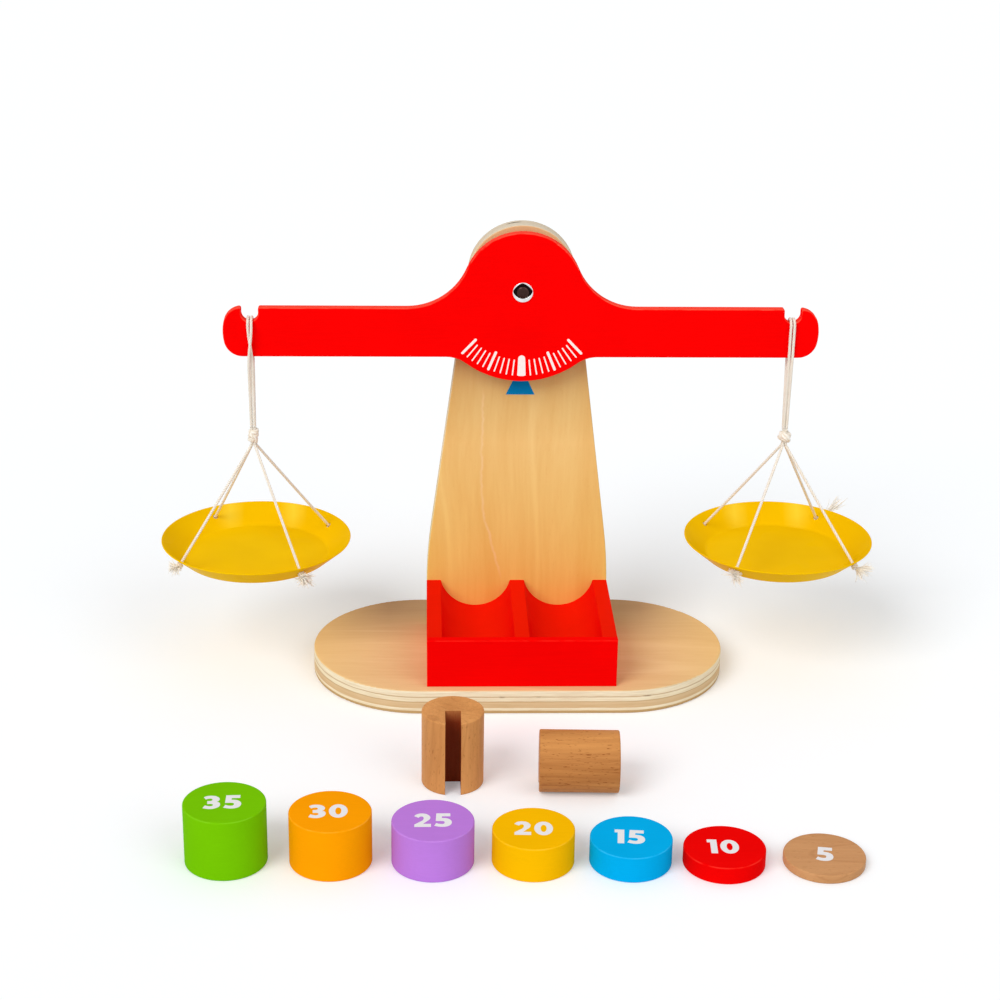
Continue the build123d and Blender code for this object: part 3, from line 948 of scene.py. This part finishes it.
pivotRing = {
    "diameter": 12.0 * mm,
    "proud": 0.5 * mm,
    "edge": 0.2 * mm,
    # the recess, a rounded diamond: each point and its handle in mm, from the middle
    "recess": [(0.0, 5.45, 1.6, -0.4), (5.6, 0.9, 0.2, -1.4), (0.0, -3.7, -3.4, 0.0), (-5.6, 0.9, 0.2, 1.4)],
    # the dark disc behind the recess is painted shade, a near-black sheet where the recess would be in
    # shadow
    "well": 0.93, "wellThickness": 0.2 * mm,        # the dark disc behind it, as a share of the ring
}
boltHead = {"diameter": 7.4 * mm, "flatness": 0.32, "forward": 0.15 * mm, "lower": 0.2 * mm}


def outlineSpline(curve, knots):
    # a knot is (x, y) for a corner, with one handle where it is smooth, or with its own handle each side
    spline = curve.splines.new("BEZIER")
    spline.bezier_points.add(len(knots) - 1)
    spline.use_cyclic_u = True
    for index, (point, knot) in enumerate(zip(spline.bezier_points, knots)):
        place, before, after = (Vector((*near[:2], 0)) for near in
                                (knot, knots[index - 1], knots[(index + 1) % len(knots)]))
        inward, outward = (before - place) / 3, (after - place) / 3
        if len(knot) > 2:
            outward = Vector((*knot[-2:], 0))
            inward = Vector((*knot[2:4], 0)) if len(knot) == 6 else -outward
        point.handle_left_type = point.handle_right_type = "FREE"
        point.co = place
        point.handle_left = place + inward
        point.handle_right = place + outward


def roundOutline(radius):
    bow = radius * 0.5523               # the handles that make four points a circle
    return [(0, radius, bow, 0), (radius, 0, 0, -bow), (0, -radius, -bow, 0), (-radius, 0, 0, bow)]


def addFlat(form, outlines, thickness, edge=0.0, resolution=8):
    # a filled outline, lying in its own XY plane
    curve = bpy.data.curves.new("flat", "CURVE")
    curve.dimensions = "2D"
    curve.fill_mode = "BOTH"
    curve.extrude = thickness / 2 - edge
    curve.bevel_depth = edge
    curve.bevel_resolution = 3 if edge else 0
    curve.offset = -edge
    curve.resolution_u = resolution
    for knots in outlines:
        outlineSpline(curve, knots)
    mesh = meshOf(curve)
    form.from_mesh(mesh)
    bpy.data.meshes.remove(mesh)


def faceFront(form, place, scale=(1, 1, 1)):
    # scaled, its own Z turned towards the camera, and moved to its place
    stand = Matrix.Rotation(math.pi / 2, 4, "X") @ Matrix.Diagonal((*scale, 1))
    bmesh.ops.transform(form, matrix=Matrix.Translation(place) @ stand, verts=form.verts)


def makePivotRing(chrome, dark):
    facts = pivotRing
    radius = facts["diameter"] / 2
    recess = [tuple(value * mm for value in knot) for knot in facts["recess"]]
    form, well = bmesh.new(), bmesh.new()
    addFlat(form, [roundOutline(radius), recess], facts["proud"], facts["edge"], 16)
    faceFront(form, (pivot.x, beamFront - facts["proud"] / 2, pivot.z))
    ring = finishMesh(form, "pivot_ring", chrome, "beam")
    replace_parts(ring, "pivot_bush")
    # the near-black disc behind the recess, painted shade
    addFlat(well, [roundOutline(radius * facts["well"])], facts["wellThickness"])
    faceFront(well, (pivot.x, beamFront, pivot.z))
    finishMesh(well, "pivot_recess_shade", dark, "beam", smooth=False)


def makeBoltHead(dark):
    # the domed end of the bolt, seen in the recess
    facts = boltHead
    form = bmesh.new()
    bmesh.ops.create_uvsphere(form, u_segments=40, v_segments=20, radius=facts["diameter"] / 2)
    place = (pivot.x, beamFront - facts["forward"], pivot.z - facts["lower"])
    faceFront(form, place, (1, 1, facts["flatness"]))
    finishMesh(form, "pivot_bolt_end", dark, "stand")


# each metal's colour, roughness and the depth of the rings on it
chrome = metalMaterial("chromePlate", tone(236, 236, 238), 0.16, 0.05)
zinc = metalMaterial("zincPlate", tone(190, 194, 200), 0.3, 0.15)
darkSteel = metalMaterial("darkSteel", tone(66, 46, 44), 0.3, 0.35)
# near-black steel for the disc behind the recess: painted shade
recessShadeSteel = metalMaterial("recessShadeSteel", tone(26, 18, 18), 0.5, 0.1)
makePivotRing(chrome, recessShadeSteel)
makeBoltHead(darkSteel)
print("pivot hardware made")


# Print on the beam and the upright

inkThickness = 0.06 * mm
dial = {
    "firstTick": 6.05,                  # degrees from straight down
    "tickStep": 4.13,
    "ticks": 10,
    "longEvery": 5,
    # distances from the pivot and widths, in mm
    "short": {"inner": 41.5, "outer": 51.5, "width": 0.82},
    "long": {"inner": 39.3, "outer": 52.0, "width": 1.6},
    "index": {"inner": 38.7, "outer": 51.6, "width": 4.2, "widthOuter": 5.2, "outerRound": 0.25},
}
pointerMark = {"base": 167 * mm, "apex": 185.4 * mm, "halfWidth": 8.7 * mm}


def raiseFaces(form, faces):
    # printed faces stand a film of ink out from the wood
    lifted = bmesh.ops.extrude_face_region(form, geom=faces, use_keep_orig=True)["geom"]
    bmesh.ops.translate(form, vec=(0, -inkThickness, 0), verts=vertsOf(lifted))


def addTick(form, angle, facts):
    # a rounded bar that points at the pivot
    inner, outer = facts["inner"] * mm, facts["outer"] * mm
    halfInner = facts["width"] * mm / 2
    halfOuter = facts.get("widthOuter", facts["width"]) * mm / 2
    roundness = halfOuter * facts.get("outerRound", 1.0)
    ring = bmesh.ops.create_circle(form, cap_ends=True, segments=24, radius=1.0)["verts"]
    for vert in ring:
        if vert.co.y > 0:
            vert.co = Vector((vert.co.x * halfOuter, outer - roundness * (1 - vert.co.y), 0))
        else:
            vert.co = Vector((vert.co.x * halfInner, inner + halfInner * (1 + vert.co.y), 0))
    across = Vector((-math.cos(angle), 0, -math.sin(angle)))
    down = Vector((math.sin(angle), 0, -math.cos(angle)))
    turn = Matrix((across, down, Vector((0, -1, 0)))).transposed().to_4x4()
    place = Vector((pivot.x, beamFront, pivot.z))
    bmesh.ops.transform(form, matrix=Matrix.Translation(place) @ turn, verts=ring)
    raiseFaces(form, list({face for vert in ring for face in vert.link_faces}))


def makeDial(ink):
    form = bmesh.new()
    for side in (-1, 1):
        for number in range(1, dial["ticks"] + 1):
            angle = side * math.radians(dial["firstTick"] + dial["tickStep"] * (number - 1))
            addTick(form, angle, dial["short"] if number % dial["longEvery"] else dial["long"])
    addTick(form, 0.0, dial["index"])
    finishMesh(form, "dial_ticks", ink, "beam", smooth=False)


def makePointer(ink):
    form = bmesh.new()
    facts = pointerMark
    tall = (facts["apex"] - facts["base"]) / 1.5       # a three-sided ring of radius 1 is 1.5 tall
    wide = facts["halfWidth"] / (math.sqrt(3) / 2)
    bmesh.ops.create_circle(form, cap_ends=True, segments=3, radius=1.0)
    faceFront(form, (pivot.x, uprightFront, facts["base"] + tall / 2), (wide, tall, 1))
    raiseFaces(form, form.faces[:])
    finishMesh(form, "zero_pointer", ink, "stand", smooth=False)


makeDial(printMaterial("whiteInk", tone(252, 240, 236), tone(255, 176, 168)))
makePointer(printMaterial("blueInk", tone(0, 124, 182), tone(40, 136, 176)))


# Numbers on the weights

numeral = {
    "height": 13.6 * mm,
    "gap": 0.12,                        # between two digits, as a share of their height
    # most sit a little left of the middle
    "shift": {"35": -1.0 * mm, "30": -1.0 * mm, "15": -0.8 * mm, "10": -0.8 * mm},
    # degrees that each weight is turned on the table, so that its number faces the camera
    "turn": {"35": 2.4, "30": 1.6, "25": 0.0, "20": -2.6, "15": -5.2, "10": -2.8, "5": -9.5},
}
# outlines on a height of 1, clockwise from the upper left, and each digit's width
digits = {
    "0": (0.71, [roundOutline(0.5), roundOutline(0.5)]),
    "1": (0.37, [[(0.0, 1.0), (0.37, 1.0), (0.37, 0.0), (0.12, 0.0), (0.12, 0.79), (0.0, 0.79)]]),
    "2": (0.64, [[
        (0.0, 0.80, 0.04, -0.03, 0.07, 0.12), (0.31, 1.0, 0.18, 0.0), (0.62, 0.695, 0.0, -0.13),
        (0.49, 0.42, 0.06, 0.08, -0.06, -0.07), (0.34, 0.225), (0.64, 0.225), (0.64, 0.0), (0.01, 0.0),
        (0.01, 0.175), (0.30, 0.455, -0.1, -0.1, 0.05, 0.06), (0.365, 0.65, 0.0, -0.07, 0.0, 0.08),
        (0.28, 0.775, 0.05, 0.0, -0.06, 0.0), (0.175, 0.68, 0.03, 0.05, -0.03, 0.02),
    ]]),
    "3": (0.65, [[
        (0.02, 0.90, -0.01, -0.03, 0.08, 0.065), (0.31, 1.0, 0.18, 0.0), (0.62, 0.735, 0.0, -0.1),
        (0.51, 0.53, 0.07, 0.04, 0.1, -0.04), (0.65, 0.29, 0.0, -0.17), (0.31, 0.0, -0.13, 0.0),
        (0.0, 0.085, 0.1, -0.05, 0.02, 0.05), (0.08, 0.285, -0.02, -0.05, 0.06, -0.045),
        (0.28, 0.21, 0.065, 0.0), (0.385, 0.30, 0.0, 0.05), (0.28, 0.385, 0.06, 0.0, -0.03, 0.0),
        (0.16, 0.385), (0.16, 0.60), (0.255, 0.60, -0.02, 0.0, 0.07, 0.0), (0.35, 0.695, 0.0, 0.05),
        (0.26, 0.785, -0.06, 0.0), (0.10, 0.725, 0.05, 0.04, -0.02, 0.04),
    ]]),
    "5": (0.67, [[
        (0.085, 1.0), (0.62, 1.0), (0.62, 0.78), (0.30, 0.78), (0.295, 0.655),
        (0.345, 0.655, -0.02, 0.0, 0.21, 0.0), (0.67, 0.335, 0.0, 0.17, 0.0, -0.2),
        (0.32, 0.0, 0.21, 0.0, -0.13, 0.0), (0.0, 0.085, 0.11, -0.05, 0.02, 0.05),
        (0.08, 0.285, -0.02, -0.05, 0.06, -0.045), (0.30, 0.21, -0.1, 0.0, 0.07, 0.0),
        (0.40, 0.325, 0.0, -0.065, 0.0, 0.075), (0.27, 0.435, 0.09, 0.0, -0.05, 0.0), (0.06, 0.435),
    ]]),
}
zeroShape = {"outer": (0.355, 0.5), "inner": (0.115, 0.265)}   # half width and half height


def digitOutlines(digit):
    if digit != "0":
        return digits[digit][1]
    middle = zeroShape["outer"][0]
    rings = []
    for ring, part in zip(digits["0"][1], ("outer", "inner")):
        wide, tall = (half / 0.5 for half in zeroShape[part])
        rings.append([(middle + x * wide, 0.5 + y * tall, dx * wide, dy * tall) for x, y, dx, dy in ring])
    return rings


def makeNumber(label, ink):
    node = f"weight_{int(label):02d}"
    middle, top = middleOf(node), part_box(node)[1].z
    size = numeral["height"]
    total = sum(digits[digit][0] for digit in label) + numeral["gap"] * (len(label) - 1)
    left = -total / 2
    whole = bmesh.new()
    for digit in label:
        drawn = digitOutlines(digit)
        outlines = [[(x + left, y - 0.5, *handles) for x, y, *handles in knots] for knots in drawn]
        addFlat(whole, outlines, inkThickness / size)
        left += digits[digit][0] + numeral["gap"]
    turn = Matrix.Rotation(math.radians(numeral["turn"][label]), 4, "Z")
    place = Matrix.Translation((middle.x + numeral["shift"].get(label, 0.0), middle.y, top)) @ turn
    bmesh.ops.transform(whole, matrix=place @ Matrix.Scale(size, 4), verts=whole.verts)
    finishMesh(whole, f"number_{label}", ink, node + "_body", smooth=False)


numberInk = printMaterial("numberInk", tone(232, 232, 234), tone(205, 205, 208))
for label in ("35", "30", "25", "20", "15", "10", "5"):
    makeNumber(label, numberInk)
print("dial, pointer and numbers printed")


# Finishes on the turned and sawn parts

def wear(material, *names):
    for name in names:
        for place in nodes[name].material_slots:
            place.material = material


# pale red of thinly worn paint, also the painted highlight and sheen on the beam
redThinAndSheen = tone(255, 96, 72)
# each red board, its paint, the tone where that is thin, also used for the painted sheen on its top, its
# edges' wear, which on these boards is partly a painted highlight along the eased edges, and how much its
# top is lightened by that painted sheen
boardPaints = {
    "redBeam": ("beam", tone(255, 0, 0), redThinAndSheen, 0.7, 0.55),
    "redRackFront": ("rack_front", tone(250, 0, 0), redThinAndSheen, 0.15, 0.0),
    # the rack block's red is darker than the front's, painted shade for its troughs
    "redRackBlock": ("rack_block", tone(236, 8, 0), tone(255, 120, 10), 0.6, 0.04),
}
discPaints = {
    35: (tone(118, 196, 4), tone(150, 215, 60)),
    30: (tone(255, 160, 0), tone(255, 190, 80)),
    25: (tone(190, 126, 222), tone(215, 165, 235)),
    20: (tone(250, 188, 0), tone(255, 210, 90)),
    15: (tone(0, 174, 236), tone(90, 205, 245)),
    10: (tone(242, 2, 2), tone(255, 90, 70)),
}
discWear = 0.25
wear(figureBase(plyMaterial("plyBase", "base_plate", alongX, "Z")), "base_plate")
wear(figureUpright(plyMaterial("plyUpright", "upright", alongZ, "Y")), "upright")
for name, (board, paint, thin, worn, topSheen) in boardPaints.items():
    wear(paintMaterial(name, paint, thin, "Y", worn, topSheen), board)
for number, (paint, thin) in discPaints.items():
    wear(paintMaterial(f"weight_{number}_paint", paint, thin, "Z", discWear), f"weight_{number}")
wear(woodMaterial("beechDisc", alongX), "weight_05")
wear(paintSlotShade(woodMaterial("beechStanding", alongZ), "rider_standing"), "rider_standing")
wear(woodMaterial("beechLying", alongX), "rider_lying")
wear(enamelMaterial(), "left_pan", "right_pan")
wear(darkSteel, "pivot_bolt")
wear(zinc, "back_washer", "back_nut", "pivot_spacer", "upright_screws", "rack_screws")
print("finishes laid on")


# Floor and light

studio = {
    "floorSize": 14.0,
    "floorTone": (0.84, 0.865, 0.885, 1.0),
    "floorGlow": 0.18,                  # seen by the camera and in reflections only
    "worldLight": 0.56,
    # soft lights from the front left and right: where each comes from, degrees of sky it fills, and power
    "keys": [((-1.45, -1.6, 1.85), 34, 1.52), ((1.6, -1.6, 1.75), 38, 0.5)],
}


def seenDirectly(tree):
    # 1 for what the camera sees, also through reflections and glass
    path = tree.nodes.new("ShaderNodeLightPath").outputs
    direct = calc("MAXIMUM", path["Is Camera Ray"], path["Is Glossy Ray"])
    return calc("MAXIMUM", direct, path["Is Transmission Ray"])


def makeFloor():
    material = bpy.data.materials.new("paleFloor")
    material.use_nodes = True
    tree = material.node_tree
    tree.nodes.clear()
    matt = tree.nodes.new("ShaderNodeBsdfDiffuse")
    matt.inputs["Color"].default_value = studio["floorTone"]
    glow = tree.nodes.new("ShaderNodeEmission")
    feed(glow.inputs["Strength"], calc("MULTIPLY", seenDirectly(tree), studio["floorGlow"]))
    both = tree.nodes.new("ShaderNodeAddShader")
    tree.links.new(matt.outputs[0], both.inputs[0])
    tree.links.new(glow.outputs[0], both.inputs[1])
    ending = tree.nodes.new("ShaderNodeOutputMaterial")
    tree.links.new(both.outputs[0], ending.inputs["Surface"])
    form = bmesh.new()
    bmesh.ops.create_grid(form, x_segments=1, y_segments=1, size=studio["floorSize"] / 2)
    mesh = bpy.data.meshes.new("floor")
    form.to_mesh(mesh)
    form.free()
    floor = putInScene("floor", mesh)
    floor.location.z = cadLow[2]
    mesh.materials.append(material)


def addKeys():
    for number, (place, spread, power) in enumerate(studio["keys"], 1):
        data = bpy.data.lights.new(f"keyLight{number}", "SUN")
        data.angle = math.radians(spread)
        data.energy = power
        lamp = putInScene(f"keyLight{number}", data)
        lamp.location = place
        lamp.rotation_euler = (-Vector(place)).to_track_quat("-Z", "Y").to_euler()


def makeWorld():
    world = bpy.data.worlds.new("softRoom")
    bpy.context.scene.world = world
    world.use_nodes = True
    tree = world.node_tree
    background = tree.nodes["Background"]
    background.inputs["Color"].default_value = (1, 1, 1, 1)
    feed(background.inputs["Strength"], remap(seenDirectly(tree), 0, 1, studio["worldLight"], 1.0))


makeFloor()
makeWorld()
addKeys()
bpy.context.scene.view_settings.view_transform = "Standard"
print("floor and light set")
